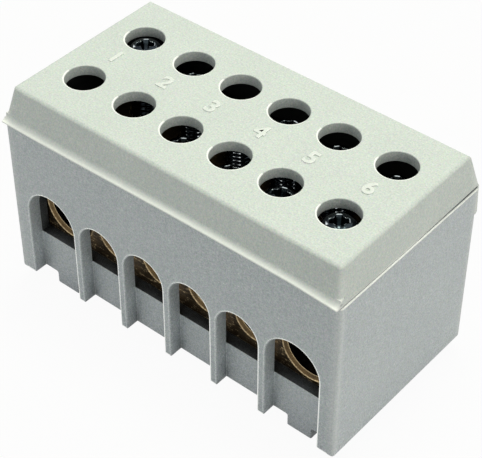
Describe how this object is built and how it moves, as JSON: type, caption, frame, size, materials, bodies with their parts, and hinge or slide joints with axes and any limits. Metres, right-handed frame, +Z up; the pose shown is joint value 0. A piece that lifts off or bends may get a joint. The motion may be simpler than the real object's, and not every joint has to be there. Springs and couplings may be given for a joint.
{
  "type": "power distribution block",
  "caption": "Moulded distribution block: arched wire entries on both long sides lead to a drilled brass bar with clamp screws, under a lift-off cover.",
  "frame": {"origin": "under the middle of the block, at the level of its feet", "axes": "+X along the block, -Y the long side with the cover's finger lip, +Z up"},
  "size_m": [0.0694, 0.0372, 0.0416],
  "materials": {
    "housing_plastic": "fine satin moulding texture, pale grey",
    "cover_plastic": "fine satin moulding texture, pale greenish grey",
    "brass": "machined, slightly tarnished",
    "zinc_steel": "bright bluish zinc plating"
  },
  "bodies": {
    "block": {"housing": "housing_plastic", "terminal_bar": "brass"},
    "cover": {"cover": "cover_plastic"},
    "clamp_screw_front_1": {"clamp_screw_front_1": "zinc_steel"},
    "clamp_screw_front_2": {"clamp_screw_front_2": "zinc_steel"},
    "clamp_screw_front_3": {"clamp_screw_front_3": "zinc_steel"},
    "clamp_screw_front_4": {"clamp_screw_front_4": "zinc_steel"},
    "clamp_screw_front_5": {"clamp_screw_front_5": "zinc_steel"},
    "clamp_screw_front_6": {"clamp_screw_front_6": "zinc_steel"},
    "clamp_screw_back_1": {"clamp_screw_back_1": "zinc_steel"},
    "clamp_screw_back_2": {"clamp_screw_back_2": "zinc_steel"},
    "clamp_screw_back_3": {"clamp_screw_back_3": "zinc_steel"},
    "clamp_screw_back_4": {"clamp_screw_back_4": "zinc_steel"},
    "clamp_screw_back_5": {"clamp_screw_back_5": "zinc_steel"},
    "clamp_screw_back_6": {"clamp_screw_back_6": "zinc_steel"}
  },
  "joints": [
    {"name": "cover_lift", "type": "slide", "parent": "block", "child": "cover", "axis": [0, 0, 1], "range_m": [0, 0.05]},
    {"name": "clamp_screw_front_1_travel", "type": "slide", "parent": "block", "child": "clamp_screw_front_1", "axis": [0, 0, 1], "range_m": [-0.0078, 0.0031]},
    {"name": "clamp_screw_front_2_travel", "type": "slide", "parent": "block", "child": "clamp_screw_front_2", "axis": [0, 0, 1], "range_m": [-0.0065, 0.0031]},
    {"name": "clamp_screw_front_3_travel", "type": "slide", "parent": "block", "child": "clamp_screw_front_3", "axis": [0, 0, 1], "range_m": [-0.0076, 0.002]},
    {"name": "clamp_screw_front_4_travel", "type": "slide", "parent": "block", "child": "clamp_screw_front_4", "axis": [0, 0, 1], "range_m": [-0.0073, 0.0023]},
    {"name": "clamp_screw_front_5_travel", "type": "slide", "parent": "block", "child": "clamp_screw_front_5", "axis": [0, 0, 1], "range_m": [-0.0083, 0.0013]},
    {"name": "clamp_screw_front_6_travel", "type": "slide", "parent": "block", "child": "clamp_screw_front_6", "axis": [0, 0, 1], "range_m": [-0.0104, 0.0005]},
    {"name": "clamp_screw_back_1_travel", "type": "slide", "parent": "block", "child": "clamp_screw_back_1", "axis": [0, 0, 1], "range_m": [-0.0107, 0.0002]},
    {"name": "clamp_screw_back_2_travel", "type": "slide", "parent": "block", "child": "clamp_screw_back_2", "axis": [0, 0, 1], "range_m": [-0.0075, 0.0021]},
    {"name": "clamp_screw_back_3_travel", "type": "slide", "parent": "block", "child": "clamp_screw_back_3", "axis": [0, 0, 1], "range_m": [-0.0065, 0.0031]},
    {"name": "clamp_screw_back_4_travel", "type": "slide", "parent": "block", "child": "clamp_screw_back_4", "axis": [0, 0, 1], "range_m": [-0.0076, 0.002]},
    {"name": "clamp_screw_back_5_travel", "type": "slide", "parent": "block", "child": "clamp_screw_back_5", "axis": [0, 0, 1], "range_m": [-0.0074, 0.0022]},
    {"name": "clamp_screw_back_6_travel", "type": "slide", "parent": "block", "child": "clamp_screw_back_6", "axis": [0, 0, 1], "range_m": [-0.0085, 0.0024]}
  ]
}
